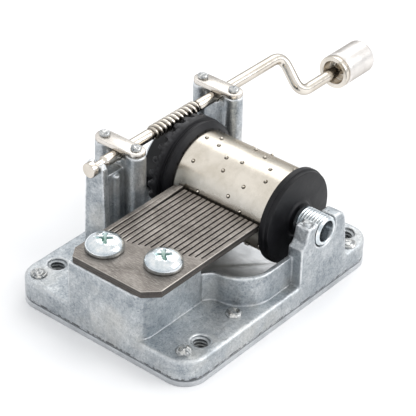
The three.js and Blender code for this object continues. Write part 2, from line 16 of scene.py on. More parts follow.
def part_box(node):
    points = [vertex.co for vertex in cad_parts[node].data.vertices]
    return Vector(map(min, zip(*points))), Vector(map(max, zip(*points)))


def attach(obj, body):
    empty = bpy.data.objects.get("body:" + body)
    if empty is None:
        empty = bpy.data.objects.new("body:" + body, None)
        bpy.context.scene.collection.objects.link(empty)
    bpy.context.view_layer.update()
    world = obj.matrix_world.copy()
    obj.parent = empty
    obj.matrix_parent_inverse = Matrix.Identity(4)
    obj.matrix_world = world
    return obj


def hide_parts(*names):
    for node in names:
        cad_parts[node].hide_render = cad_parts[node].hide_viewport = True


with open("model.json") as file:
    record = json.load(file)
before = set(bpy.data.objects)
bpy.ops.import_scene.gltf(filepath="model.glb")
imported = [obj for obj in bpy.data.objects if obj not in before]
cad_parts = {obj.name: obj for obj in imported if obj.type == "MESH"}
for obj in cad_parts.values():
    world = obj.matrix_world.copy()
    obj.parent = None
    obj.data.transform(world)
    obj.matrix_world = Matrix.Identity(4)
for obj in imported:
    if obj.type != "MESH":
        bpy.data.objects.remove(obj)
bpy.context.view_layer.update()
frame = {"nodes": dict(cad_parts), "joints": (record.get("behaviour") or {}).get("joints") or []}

MM = 0.001
TURN = 2 * math.pi
JOINTS = {joint["name"]: joint for joint in frame["joints"]}


def box_mm(node):
    """Lowest and highest corner of a CAD node, in millimetres."""
    return [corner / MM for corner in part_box(node)]


def joint_mm(name):
    """A point on a joint's axis, in millimetres."""
    return Vector(JOINTS[name]["pos_m"]) / MM


# -------- driving dimensions, mm

DRUM_AXIS = joint_mm("drum_spin")
SHAFT_AXIS = joint_mm("crank_spin")
KNOB_AXIS = joint_mm("knob_spin")

CASTING = {
    "voxel": 0.16, "soften": 7, "swell": 0.035, "grain": 0.014, "seam": 1.35,
    "staked_from": 1.5, "staked_z": 13.9, "prong": 0.9, "beaten": 0.16,
}
SHEET_PLATE = {"corner": 4, "edge": 0.14, "hole_r": 1.65, "stud_hole_r": 0.84}
FLANGE_HOLES = {"front_left": (-14.6, -16.4), "front_right": (14.6, -16.5), "rear_right": (13.9, 20.3)}
HOLE_THREAD = {"r": 1.56, "crest": 1.12, "pitch": 0.62, "half": 0.27, "z0": 1.3, "z1": 4.3, "per_turn": 48}
BASE_STUD = {"seat": 3.65, "shank": 0.8, "wall": 0.15, "groove_at": 0.72}
STRAP = {"edge": 0.16, "sag": 0.03}
STRAP_STUD = {"shank": 0.6, "wall": 0.2, "crown": 0.12, "groove": 0.12, "groove_at": 0.62, "dimple": 0.1}
COMB = {
    "teeth": 18, "slot": 0.27, "chamfer_left": 1.2, "chamfer_right": 2.2, "side_chamfer": 1.8,
    "root_left": 8.15, "root_right": 12.55, "root_corner": 5.25, "lifted_tooth": 1, "lift": 0.42,
    "edge": 0.09, "shear_line": 0.05,
}
LEAD_EDGE = 0.08
SCREW = {
    "height": 1.9, "shank": 1.45, "tip": 0.95, "wall": 0.2, "depth": 1.0, "arm": 1.25, "arm_half": 0.3,
    "ragged": 0.16, "rim": 0.2, "spin": {"left": 0.66, "right": 0.78},
}
DRUM = {"wall": 0.6, "pin_r": 0.21, "pin_height": 0.32, "edge": 0.08, "below_disc": 0.75}
# height above the drum and radius, from a pin's buried foot to its worn top
PIN_OUTLINE = [(-0.2, 0.3), (0.004, 0.36), (0.02, 0.25), (0.18, 0.19), (0.29, 0.13), (0.32, 0.05)]
GEAR = {
    "teeth": 24, "tip": -11.66, "root": -10.2, "rim": -8.0, "core": 6.2, "inner": 6.7, "flange_r": 8.35,
    "chamfer_r": 7.75, "chamfer": 0.5, "tip_flat": 0.26, "steep": 0.3, "slope": 0.85, "groove": 0.45,
    "spigot": 1.6, "spigot_wall": 1.2, "web": 0.4, "lip": 0.35, "edge": 0.09,
}
DISC = {"step": 0.28, "band": 0.92, "hub": 3.0, "boss": 0.3, "edge": 0.12}
FIT_GAP = 0.02
AXLE = {"edge": 0.25, "dark": 1}
SHAFT_R = 0.95
WORM = {
    "y0": 3.0, "y1": 14.2, "r": 1.22, "core": 0.86, "starts": 2, "crest": 0.44, "flank": 0.32, "rows": 190,
}
HEAD = {"y1": -10.1, "r": 1.25, "neck_r": 0.62, "neck_y1": -8.0}
CRANK = {"bend_y": 36.5, "bend": 2.4, "end_y": 51.2, "end_r": 1.3}
BUSHING = {
    "collar": 0.5, "groove": 0.2, "groove_depth": 0.28, "pitch": 0.5, "thread": 0.2, "bore": 1.7, "end": 0.3,
    "rows": 120,
}
KNOB = {
    "wall": 0.4, "ring": 0.85, "groove": 0.3, "mouth": 2.1, "mouth_depth": 1.9, "bore": 1.0, "bearing": 3.4,
    "edge": 0.16, "end_wall": 0.6,
}


# -------- shape tools


def clamp(value, low=0.0, high=1.0):
    return max(low, min(high, value))


def soft(value):
    """0 to 1 with eased ends."""
    value = clamp(value)
    return value * value * (3 - 2 * value)


def rounded(points, radius, closed=False, steps=4):
    """The outline with an arc in place of each corner."""
    made = []
    count = len(points)
    for i, point in enumerate(points):
        corner = Vector(point)
        to_before = Vector(points[i - 1]) - corner
        to_after = Vector(points[(i + 1) % count]) - corner
        bisector = to_before.normalized() + to_after.normalized()
        if (not closed and i in (0, count - 1)) or bisector.length < 1e-3:
            made.append(corner)
            continue
        half = to_before.angle(to_after) / 2
        reach = min(radius / math.tan(half), 0.45 * to_before.length, 0.45 * to_after.length)
        centre = corner + bisector.normalized() * reach / math.cos(half)
        start = corner + to_before.normalized() * reach - centre
        end = corner + to_after.normalized() * reach - centre
        arc = [start.normalized().slerp(end.normalized(), step / steps) for step in range(steps + 1)]
        made += [centre + direction * start.length for direction in arc]
    return made


def skin(bm, rings, closed=False):
    """Joins rings of points, in order, into one skin with its ends closed; a ring may be one point."""
    made = [[bm.verts.new(point) for point in ring] for ring in rings]
    pairs = list(zip(made, made[1:])) + ([(made[-1], made[0])] if closed else [])
    for one, two in pairs:
        count = max(len(one), len(two))
        for i in range(count if count > 1 else 0):
            j = (i + 1) % count
            corners = [one[i % len(one)], one[j % len(one)], two[j % len(two)], two[i % len(two)]]
            bm.faces.new(dict.fromkeys(corners))
    if not closed:
        for ring in (made[0], made[-1]):
            if len(ring) > 2:
                bm.faces.new(ring)


def turner(axis, centre):
    """A function from (along, r, angle) about an axis to a point."""
    x, y, z = centre
    return {
        "X": lambda along, r, angle: Vector((along, y + r * math.sin(angle), z + r * math.cos(angle))),
        "Y": lambda along, r, angle: Vector((x + r * math.sin(angle), along, z + r * math.cos(angle))),
        "Z": lambda along, r, angle: Vector((x + r * math.cos(angle), y + r * math.sin(angle), along)),
    }[axis]


def around(segments):
    return [TURN * i / segments for i in range(segments)]


def lathe(bm, profile, axis, centre, angles=96, closed=False, shape=None):
    """Turns (along, r) points about an axis; shape(along, r, angle) may move each point."""
    place = turner(axis, centre)
    angles = around(angles) if isinstance(angles, int) else angles
    rings = []
    for along, r in profile:
        if r < 1e-6:
            rings.append([place(along, 0, 0)])
        elif shape:
            rings.append([place(*shape(along, r, angle), angle) for angle in angles])
        else:
            rings.append([place(along, r, angle) for angle in angles])
    skin(bm, rings, closed)


def offset(loop, distance):
    """The closed outline moved to its left."""
    moved = []
    for i, point in enumerate(loop):
        before = (point - loop[i - 1]).normalized()
        after = (loop[(i + 1) % len(loop)] - point).normalized()
        left = Vector((-before.y - after.y, before.x + after.x)).normalized()
        moved.append(point + left * distance / max(left.dot(Vector((-before.y, before.x))), 0.4))
    return moved


def circle(x, y, r, count=32, hole=False):
    sign = -1 if hole else 1
    return [Vector((x + r * math.cos(sign * a), y + r * math.sin(sign * a))) for a in around(count)]


def rim_levels(z0, z1, edge):
    """(z, inset) of a slab's wall with its two rims rounded."""
    slight = 0.3 * edge
    low = [(z0, edge), (z0 + slight, slight), (z0 + edge, 0)]
    return low + [(z1 - edge, 0), (z1 - slight, slight), (z1, edge)]


def slab(bm, loops, levels):
    """A flat piece from an outline, anticlockwise, and its holes, clockwise."""
    ends = [[], []]
    for loop in loops:
        rings = [[bm.verts.new((*point, z)) for point in offset(loop, inset)] for z, inset in levels]
        for one, two in zip(rings, rings[1:]):
            for i in range(len(one)):
                j = (i + 1) % len(one)
                bm.faces.new((one[i], one[j], two[j], two[i]))
        ends[0].append(rings[0])
        ends[1].append(rings[-1])
    for rings in ends:
        verts = [vert for ring in rings for vert in ring]
        for corners in tessellate_polygon([[vert.co.copy() for vert in ring] for ring in rings]):
            bm.faces.new([verts[i] for i in corners])


def from_cad(node):
    """A CAD node's shape, in millimetres, with its flat faces whole."""
    bm = bmesh.new()
    bm.from_mesh(frame["nodes"][node].data)
    bmesh.ops.scale(bm, vec=(1 / MM,) * 3, verts=bm.verts)
    bmesh.ops.remove_doubles(bm, verts=bm.verts, dist=1e-3)
    bmesh.ops.dissolve_limit(bm, angle_limit=math.radians(1), verts=bm.verts, edges=bm.edges)
    return bm


def darken(bm, inside):
    """Marks how deep each vertex lies in a bore or a groove, where the looks paint it dark as shade."""
    layer = bm.verts.layers.float.new("deep")
    for vert in bm.verts:
        vert[layer] = inside(vert.co)


def place_piece(name, mesh, body, look, nodes, sharp):
    mesh.transform(Matrix.Scale(MM, 4))
    mesh.shade_smooth()
    mesh.set_sharp_from_angle(angle=math.radians(sharp))
    mesh.materials.clear()
    mesh.materials.append(look)
    made = bpy.data.objects.new(name, mesh)
    bpy.context.scene.collection.objects.link(made)
    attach(made, body)
    if nodes:
        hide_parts(*nodes)
    return made


def piece(name, bm, body, look, slot, *nodes, sharp=40):
    """Turns a bmesh in millimetres into a piece that rides on a body and stands for CAD nodes."""
    bmesh.ops.recalc_face_normals(bm, faces=bm.faces)
    mesh = bpy.data.meshes.new(name)
    bm.to_mesh(mesh)
    bm.free()
    return place_piece(name, mesh, body, look, nodes, sharp)


# -------- materials


class Look:
    """A procedural material whose patterns are laid out in millimetres in the CAD frame."""

    def __init__(self, name, **fixed):
        self.material = bpy.data.materials.new(name)
        self.material.use_nodes = True
        self.tree = self.material.node_tree
        self.shader = self.tree.nodes["Principled BSDF"]
        for socket, value in fixed.items():
            self.shader.inputs[socket.replace("_", " ")].default_value = value
        self.here = self.node("ShaderNodeTexCoord").outputs["Object"]

    def node(self, kind, inputs=None, **settings):
        made = self.tree.nodes.new(kind)
        for setting, value in settings.items():
            setattr(made, setting, value)
        for socket, value in (inputs or {}).items():
            if isinstance(value, bpy.types.NodeSocket):
                self.tree.links.new(value, made.inputs[socket])
            else:
                made.inputs[socket].default_value = value
        return made

    def stretched(self, stretch):
        """The place on the piece in millimetres, drawn out along each axis."""
        per_axis = [share / MM for share in stretch]
        return self.node("ShaderNodeVectorMath", {0: self.here, 1: per_axis}, operation="MULTIPLY").outputs[0]

    def noise(self, per_mm, detail=3, rough=0.6, stretch=(1, 1, 1), twist=0.0):
        return self.node("ShaderNodeTexNoise", {
            "Vector": self.stretched(stretch), "Scale": per_mm, "Detail": detail, "Roughness": rough,
            "Distortion": twist,
        }).outputs[0]

    def cells(self, per_mm, stretch=(1, 1, 1)):
        inputs = {"Vector": self.stretched(stretch), "Scale": per_mm}
        return self.node("ShaderNodeTexVoronoi", inputs).outputs["Distance"]

    def attribute(self, name):
        return self.node("ShaderNodeAttribute", attribute_name=name).outputs["Fac"]

    def spread(self, value, low, high, to_low=0.0, to_high=1.0):
        return self.node("ShaderNodeMapRange", {
            "Value": value, "From Min": low, "From Max": high, "To Min": to_low, "To Max": to_high,
        }).outputs[0]

    def math(self, operation, a, b=0.0):
        return self.node("ShaderNodeMath", {0: a, 1: b}, operation=operation).outputs[0]

    def ramp(self, value, *stops):
        made = self.node("ShaderNodeValToRGB", {"Fac": value})
        elements = made.color_ramp.elements
        while len(elements) < len(stops):
            elements.new(0.5)
        for element, (place, colour) in zip(elements, stops):
            element.position = place
            element.color = (*colour, 1)
        return made.outputs["Color"]

    def blend(self, share, a, b):
        colours = {6: a if isinstance(a, bpy.types.NodeSocket) else (*a, 1),
                   7: b if isinstance(b, bpy.types.NodeSocket) else (*b, 1)}
        return self.node("ShaderNodeMix", {0: share, **colours}, data_type="RGBA").outputs[2]

    def bump(self, height, depth_mm, under=None):
        inputs = {"Height": height, "Distance": depth_mm * MM, "Strength": 1.0}
        if under:
            inputs["Normal"] = under
        return self.node("ShaderNodeBump", inputs).outputs[0]

    def finish(self, **linked):
        for socket, value in linked.items():
            self.tree.links.new(value, self.shader.inputs[socket.replace("_", " ")])
        return self.material


def cast_zinc():
    """Tumbled zinc casting: blotched grey, soft orange-peel skin; sharp edges made lighter, partly burnish
    from tumbling and partly a painted highlight, and hollows darkened as painted shade.
    """
    look = Look("cast_zinc", Metallic=0.88)
    blotch = look.noise(0.16, 6, 0.62, twist=0.8)
    streak = look.noise(1.3, 5, 0.72, (1, 1, 0.8), 0.5)
    grit = look.noise(3.4, 4, 0.75)
    fleck = look.noise(2.6, 4, 0.8, twist=0.3)
    coarse = look.math("ADD", look.math("MULTIPLY", blotch, 0.4), look.math("MULTIPLY", streak, 0.25))
    tone = look.math("ADD", coarse, look.math("MULTIPLY", fleck, 0.35))
    colour = look.ramp(
        tone, (0.40, (0.25, 0.28, 0.305)), (0.47, (0.37, 0.40, 0.425)), (0.53, (0.48, 0.505, 0.52)),
        (0.61, (0.64, 0.66, 0.67)))
    colour = look.blend(look.spread(grit, 0.43, 0.33, 0, 0.7), colour, (0.10, 0.11, 0.12))
    colour = look.blend(look.spread(grit, 0.60, 0.70, 0, 0.55), colour, (0.74, 0.76, 0.77))
    warm = look.spread(look.noise(0.16, 2, 0.5), 0.52, 0.7, 0, 0.3)
    colour = look.blend(warm, colour, (0.56, 0.53, 0.47))
    # Edges that stand proud are made lighter in patches: partly burnish from tumbling, partly a painted
    # highlight.
    proud = look.attribute("proud")
    wear_and_highlight = look.spread(look.noise(0.9), 0.34, 0.6, 0.25, 1)
    rubbed_and_highlit = look.math("MULTIPLY", look.spread(proud, 0.004, 0.014), wear_and_highlight)
    colour = look.blend(rubbed_and_highlit, colour, (0.80, 0.82, 0.83))
    # Painted shade: concave places, where the mesh lies below its neighbours, are darkened.
    hollow = look.spread(proud, -0.004, -0.016, 0, 0.6)
    colour = look.blend(hollow, colour, (0.12, 0.13, 0.14))
    scratch = look.spread(look.cells(0.55, (1, 0.2, 1)), 0.06, 0.02)
    height = look.node("ShaderNodeSeparateXYZ", {0: look.here}).outputs["Z"]
    from_seam = look.math("ABSOLUTE", look.math("SUBTRACT", height, CASTING["seam"] * MM))
    ragged = look.spread(look.noise(0.9, 4, 0.75), 0.47, 0.53)
    seam = look.math("MULTIPLY", look.spread(from_seam, 0.3 * MM, 0.16 * MM), ragged)
    marks = look.math("MULTIPLY", look.math("MAXIMUM", scratch, seam), 0.85)
    colour = look.blend(marks, colour, (0.05, 0.05, 0.055))
    dull = look.spread(streak, 0.3, 0.7, 0.44, 0.3)
    rough = look.math("SUBTRACT", dull, look.math("MULTIPLY", rubbed_and_highlit, 0.1))
    peel = look.bump(look.noise(0.9, 4, 0.6), 0.1)
    grain = look.bump(grit, 0.045, peel)
    return look.finish(Base_Color=colour, Roughness=rough, Normal=grain)


def dull_sheet():
    """Plated sheet steel with rolling lines and grey scuffs."""
    look = Look("dull_sheet", Metallic=0.9)
    scuff = look.noise(0.3, 5, 0.65)
    lines = look.noise(3, 3, 0.7, (0.08, 1, 1))
    colour = look.ramp(scuff, (0.35, (0.46, 0.475, 0.49)), (0.6, (0.60, 0.615, 0.63)))
    colour = look.blend(look.spread(lines, 0.64, 0.8, 0, 0.25), colour, (0.35, 0.36, 0.37))
    rough = look.spread(lines, 0.3, 0.7, 0.3, 0.48)
    return look.finish(Base_Color=colour, Roughness=rough, Normal=look.bump(lines, 0.012))


def comb_steel():
    """Tempered comb steel: warm brown-grey, finely ground across the teeth."""
    look = Look("comb_steel", Metallic=0.9)
    ground = look.noise(7, 3, 0.75, (0.12, 1, 1))
    stain = look.noise(0.28, 4, 0.6, twist=0.5)
    colour = look.ramp(
        stain, (0.35, (0.15, 0.135, 0.122)), (0.52, (0.21, 0.19, 0.172)), (0.68, (0.28, 0.258, 0.235)))
    colour = look.blend(look.spread(ground, 0.5, 0.66, 0, 0.55), colour, (0.44, 0.415, 0.38))
    colour = look.blend(look.spread(ground, 0.46, 0.32, 0, 0.5), colour, (0.09, 0.08, 0.072))
    speck = look.spread(look.cells(0.33, (1, 1, 0.2)), 0.035, 0.02)
    colour = look.blend(speck, colour, (0.05, 0.045, 0.04))
    # Painted highlight on the comb's top front rim, then painted shade on its sides and underside.
    colour = look.blend(look.attribute("wear_and_highlight"), colour, (0.72, 0.68, 0.62))
    colour = look.blend(look.math("MULTIPLY", look.attribute("deep"), 0.8), colour, (0.05, 0.045, 0.042))
    rough = look.spread(ground, 0.3, 0.7, 0.5, 0.36)
    return look.finish(Base_Color=colour, Roughness=rough, Normal=look.bump(ground, 0.016))


def bright_zinc():
    """Clear-passivated zinc plate, bluish, with green in the abraded recess."""
    look = Look("bright_zinc", Metallic=1.0)
    haze = look.noise(0.9, 4, 0.6)
    colour = look.ramp(
        haze, (0.35, (0.60, 0.66, 0.69)), (0.55, (0.74, 0.78, 0.80)), (0.7, (0.84, 0.85, 0.84)))
    recess = look.attribute("recess")
    green = look.math("MULTIPLY", recess, look.spread(look.noise(2.5), 0.3, 0.6, 0.6, 1))
    colour = look.blend(green, colour, (0.34, 0.50, 0.44))
    # Painted shade from "deep", in the bushing's bore and thread roots.
    colour = look.blend(look.attribute("deep"), colour, (0.08, 0.09, 0.10))
    rough = look.math("ADD", look.spread(haze, 0.3, 0.7, 0.12, 0.24), look.math("MULTIPLY", recess, 0.2))
    hammer = look.bump(look.noise(0.9, 2, 0.5), 0.05)
    fine = look.bump(look.noise(6, 2, 0.6), 0.006, hammer)
    return look.finish(Base_Color=colour, Roughness=rough, Normal=fine)


def warm_nickel(name, colours, rough, brush, tarnish=0.0):
    """Nickel plate; brush is how far the brushing is drawn out along each axis."""
    look = Look(name, Metallic=1.0, Specular_Tint=(0.45, 0.43, 0.40, 1))
    haze = look.noise(0.35, 4, 0.6)
    lines = look.noise(6, 3, 0.7, brush)
    colour = look.ramp(haze, (0.35, colours[0]), (0.65, colours[1]))
    patches = look.spread(look.noise(1.4, 4, 0.75, twist=0.4), 0.56, 0.72, 0, tarnish)
    colour = look.blend(patches, colour, (0.42, 0.35, 0.27))
    # Painted shade from "deep": round the drum pins' feet and in the worm's grooves.
    colour = look.blend(look.attribute("deep"), colour, (0.09, 0.075, 0.06))
    brushed = look.spread(lines, 0.3, 0.7, *rough)
    sheen = look.math("ADD", brushed, look.math("MULTIPLY", patches, 0.3))
    wave = look.bump(look.noise(0.5, 2, 0.5), 0.03)
    return look.finish(Base_Color=colour, Roughness=sheen, Normal=look.bump(lines, 0.006, wave))


def black_plastic():
    """Moulded black plastic with a fine satin skin and a painted highlight, in patches, on the crown gear's
    teeth.
    """
    look = Look("black_plastic", Metallic=0.0, IOR=1.38, Specular_IOR_Level=0.42)
    cloud = look.noise(0.5, 4, 0.6)
    colour = look.ramp(cloud, (0.35, (0.004, 0.004, 0.005)), (0.7, (0.010, 0.010, 0.012)))
    # Painted highlight, in patches, on the crown gear's teeth.
    tooth_edge_highlight = look.math("MULTIPLY", look.attribute("wear_and_highlight"), look.spread(look.noise(1.6), 0.35, 0.6))
    colour = look.blend(tooth_edge_highlight, colour, (0.075, 0.075, 0.08))
    rough = look.spread(cloud, 0.3, 0.7, 0.34, 0.5)
    satin = look.bump(look.noise(9, 3, 0.7), 0.008)
    waves = look.bump(look.noise(0.7, 2), 0.03, satin)
    return look.finish(Base_Color=colour, Roughness=rough, Normal=waves)


def axle_steel():
    """Ground steel rod with turning marks, its end painted dark as shade inside the bushing."""
    look = Look("axle_steel", Metallic=1.0)
    lines = look.noise(8, 2, 0.6, (1, 0.1, 0.1))
    colour = look.ramp(look.noise(0.6, 3), (0.35, (0.42, 0.44, 0.45)), (0.65, (0.6, 0.61, 0.61)))
    # Painted shade on the axle's end inside the bushing.
    colour = look.blend(look.attribute("deep"), colour, (0.03, 0.035, 0.04))
    return look.finish(Base_Color=colour, Roughness=look.spread(lines, 0.3, 0.7, 0.25, 0.4),
                       Normal=look.bump(lines, 0.01))


def dull_lead():
    """Soft grey lead with a chalky bloom."""
    look = Look("dull_lead", Metallic=0.7)
    bloom = look.noise(1.2, 4, 0.65)
    colour = look.ramp(bloom, (0.35, (0.16, 0.17, 0.19)), (0.7, (0.34, 0.35, 0.37)))
    return look.finish(Base_Color=colour, Roughness=look.spread(bloom, 0.3, 0.7, 0.5, 0.7),
                       Normal=look.bump(look.noise(3, 3), 0.03))


def peened_metal():
    """Stud and rivet heads burnished by the punch that spread them."""
    look = Look("peened_metal", Metallic=0.95)
    marks = look.noise(1.6, 4, 0.7, twist=0.6)
    colour = look.ramp(
        marks, (0.34, (0.16, 0.17, 0.18)), (0.48, (0.40, 0.41, 0.41)), (0.66, (0.74, 0.73, 0.70)))
    return look.finish(Base_Color=colour, Roughness=look.spread(marks, 0.3, 0.7, 0.38, 0.16),
                       Normal=look.bump(look.noise(2.2, 3, 0.6), 0.07))


ZINC = cast_zinc()
SHEET = dull_sheet()
COMB_STEEL = comb_steel()
PLATING = bright_zinc()
DRUM_NICKEL = warm_nickel(
    "drum_nickel", ((0.64, 0.59, 0.51), (0.76, 0.71, 0.63)), (0.2, 0.27), (1, 0.1, 0.1), 0.12)
CAP_NICKEL = warm_nickel(
    "cap_nickel", ((0.66, 0.62, 0.57), (0.80, 0.76, 0.71)), (0.2, 0.34), (0.2, 1, 1), 0.15)
CRANK_NICKEL = warm_nickel(
    "crank_nickel", ((0.62, 0.57, 0.50), (0.78, 0.73, 0.66)), (0.12, 0.2), (1, 0.15, 1), 0.2)
KNOB_NICKEL = warm_nickel(
    "knob_nickel", ((0.72, 0.69, 0.66), (0.84, 0.81, 0.78)), (0.26, 0.4), (0.1, 1, 0.1))
PLASTIC = black_plastic()
STEEL = axle_steel()
LEAD = dull_lead()
PEENED = peened_metal()


# -------- frame


def mark_proud(mesh, passes=2):
    """Stores how far each point of a dense mesh stands above its neighbours, in millimetres."""
    count = len(mesh.vertices)
    places, normals = np.empty(count * 3), np.empty(count * 3)
    mesh.vertices.foreach_get("co", places)
    mesh.vertices.foreach_get("normal", normals)
    places, normals = places.reshape(-1, 3), normals.reshape(-1, 3)
    ends = np.empty(len(mesh.edges) * 2, int)
    mesh.edges.foreach_get("vertices", ends)
    one, two = ends.reshape(-1, 2).T
    neighbours = np.maximum(np.bincount(ends, minlength=count), 1)[:, None]

    def average(values):
        total = np.zeros_like(values)
        np.add.at(total, one, values[two])
        np.add.at(total, two, values[one])
        return total / neighbours

    proud = ((places - average(places)) * normals).sum(1, keepdims=True)
    for _ in range(passes):
        proud = average(proud)
    mesh.attributes.new("proud", "FLOAT", "POINT").data.foreach_set("value", proud.ravel().astype(np.float32))


def cast_frame():
    """The casting: the CAD shape with the soft edges and uneven skin that a die and a tumbler leave."""
    sharp = frame["nodes"]["cast_frame"].data.copy()
    sharp.transform(Matrix.Scale(1 / MM, 4))
    raw = bpy.data.objects.new("sharp_casting", sharp)
    bpy.context.scene.collection.objects.link(raw)
    voxels = raw.modifiers.new("voxels", "REMESH")
    voxels.mode, voxels.voxel_size = "VOXEL", CASTING["voxel"]
    soften = raw.modifiers.new("soften", "SMOOTH")
    soften.factor, soften.iterations = 0.5, CASTING["soften"]
    mesh = bpy.data.meshes.new_from_object(raw.evaluated_get(bpy.context.evaluated_depsgraph_get()))
    bpy.data.objects.remove(raw)
    mark_proud(mesh)
    staked_x = box_mm("threaded_bushing")[0].x + CASTING["staked_from"]
    strap_y = box_mm("cap_plate_front")[0].y - 2
    top = box_mm("cast_frame")[1].z
    normals = [vert.normal.copy() for vert in mesh.vertices]
    moved = []
    for vert, normal in zip(mesh.vertices, normals):
        place = vert.co
        depth = noise.noise(place * 0.4) * CASTING["swell"] + noise.noise(place * 1.7) * CASTING["grain"]
        staked = place.x > staked_x and place.z > CASTING["staked_z"] and place.y < DRUM_AXIS.y
        prong = place.y < strap_y and place.z > top - CASTING["prong"]
        if staked or prong:
            depth += noise.noise(place * 1.9) * CASTING["beaten"]
        moved.append(place + normal * depth)
    mesh.vertices.foreach_set("co", np.array(moved, np.float32).ravel())
    mesh.update()
    mesh.name = "die_cast_frame"
    place_piece("die_cast_frame", mesh, "frame", ZINC, ["cast_frame"], 180)


def bottom_plate():
    low, high = box_mm("bottom_plate")
    corners = [(low.x, low.y), (high.x, low.y), (high.x, high.y), (low.x, high.y)]
    loops = [rounded(corners, SHEET_PLATE["corner"], closed=True, steps=16)]
    loops += [circle(*hole, SHEET_PLATE["hole_r"], hole=True) for hole in FLANGE_HOLES.values()]
    for side in ("front_left", "front_right", "middle_right", "rear_right"):
        stud_low, stud_high = box_mm(f"base_rivet_{side}")
        x, y = (stud_low.x + stud_high.x) / 2, (stud_low.y + stud_high.y) / 2
        loops.append(circle(x, y, SHEET_PLATE["stud_hole_r"], hole=True))
    bm = bmesh.new()
    slab(bm, loops, rim_levels(low.z, high.z, SHEET_PLATE["edge"]))
    piece("base_sheet", bm, "frame", SHEET, "sheet_steel", "bottom_plate")


def hole_threads():
    """The screw thread inside each hole of the flange."""
    root, crest, half = HOLE_THREAD["r"], HOLE_THREAD["crest"], HOLE_THREAD["half"]
    pitch, per_turn = HOLE_THREAD["pitch"], HOLE_THREAD["per_turn"]
    section = [(-half, root), (-0.2 * half, crest), (0.2 * half, crest), (half, root)]
    steps = int((HOLE_THREAD["z1"] - HOLE_THREAD["z0"]) / pitch * per_turn)
    for side, (x, y) in FLANGE_HOLES.items():
        place = turner("Z", (x, y, 0))
        rings = []
        for i in range(steps + 1):
            z, angle = HOLE_THREAD["z0"] + pitch * i / per_turn, TURN * i / per_turn
            rings.append([place(z + up, r, angle) for up, r in section])
        bm = bmesh.new()
        skin(bm, rings)
        # Painted shade: the thread's roots get a negative "proud" value, which the casting look paints dark.
        shade = bm.verts.layers.float.new("proud")
        for vert in bm.verts:
            in_root = math.hypot(vert.co.x - x, vert.co.y - y) > (root + crest) / 2
            vert[shade] = -0.016 if in_root else 0.004
        piece(f"flange_thread_{side}", bm, "frame", ZINC, "zinc_casting")


def headed_stud(name, look, slot, body, profile, relief, angles=64):
    """A turned stud whose head is then pressed down by relief(x, y), measured from its centre."""
    low, high = box_mm(name)
    centre = (low + high) / 2
    bm = bmesh.new()
    lathe(bm, profile(low, high), "Z", centre, angles)
    layer = bm.verts.layers.float.new("recess")
    for vert in bm.verts:
        if vert.co.z > high.z - 0.75 * (high.z - low.z):
            x, y = vert.co.x - centre.x, vert.co.y - centre.y
            depth = relief(x, y)
            vert.co.z -= depth * soft((vert.co.z - low.z) / (high.z - low.z) * 3 - 1)
            vert[layer] = clamp(depth * 1.5)
    return piece(f"{name}_turned", bm, body, look, slot, name, sharp=60)


def base_studs():
    """The studs that hold the sheet plate on, each spread a little differently by its punch."""
    r = (box_mm("base_rivet_front_left")[1].x - box_mm("base_rivet_front_left")[0].x) / 2
    seat, shank = box_mm("cast_frame")[0].z + BASE_STUD["seat"], BASE_STUD["shank"]
    wall_top = seat + BASE_STUD["wall"]

    def profile(low, high, crown, groove):
        rise = high.z + crown - wall_top
        rows = [(low.z, 0), (low.z, shank), (seat - 0.1, shank), (seat - 0.1, r), (seat + 0.12, r * 1.02)]
        for i in range(25):
            share = 1 - i / 24
            dip = groove * math.exp(-((share - BASE_STUD["groove_at"]) / 0.1) ** 2)
            rows.append((wall_top + rise * math.sqrt(max(1 - share ** 2.4, 0)) - dip, r * share))
        return rows

    def scored(x, y):
        line = 0.16 * math.exp(-((x * 0.6 + y) / 0.12) ** 2) * soft(1.2 - math.hypot(x, y))
        return line + 0.05 * noise.noise(Vector((x, y, 0)) * 3)

    def half_moon(x, y):
        return 0.42 * soft((0.82 - math.hypot(x, y)) / 0.12) * soft((0.35 * x + y) / 0.12 + 0.5)

    def peened(x, y):
        return 0.06 * noise.noise(Vector((x, y, 4)) * 2.4)

    def beside(x, y):
        dish = 0.1 * soft((0.75 - math.hypot(x, y)) / 0.1)
        return dish - 0.3 * soft(1.1 - math.hypot(x + 0.75, y + 0.35) / 0.45)

    kinds = {
        "front_left": (0.0, 0.2, scored), "front_right": (0.32, 0.0, peened),
        "middle_right": (0.2, 0.0, half_moon), "rear_right": (0.0, 0.16, beside),
    }
    for side, (crown, groove, relief) in kinds.items():
        headed_stud(f"base_rivet_{side}", PEENED, "rivet_metal", "frame",
                    lambda low, high, c=crown, g=groove: profile(low, high, c, g), relief)


def cap_plates():
    """The straps that close the shaft's saddles, and the stud heads on them."""
    for end in ("front", "rear"):
        low, high = box_mm(f"cap_plate_{end}")
        lobe, y = (high.y - low.y) / 2, (low.y + high.y) / 2
        half = [Vector((high.x - lobe + lobe * math.sin(a), y - lobe * math.cos(a))) for a in around(64)[:33]]
        other = [Vector((low.x + high.x - point.x, 2 * y - point.y)) for point in half]
        bm = bmesh.new()
        slab(bm, [half + other], rim_levels(low.z, high.z, STRAP["edge"]))
        for vert in bm.verts:
            vert.co.z += STRAP["sag"] * noise.noise(vert.co * 0.5)
        piece(f"strap_{end}", bm, "frame", CAP_NICKEL, "nickel_plating", f"cap_plate_{end}")
        for side in ("outer", "inner"):
            cap_rivet(f"cap_rivet_{end}_{side}", high.z)


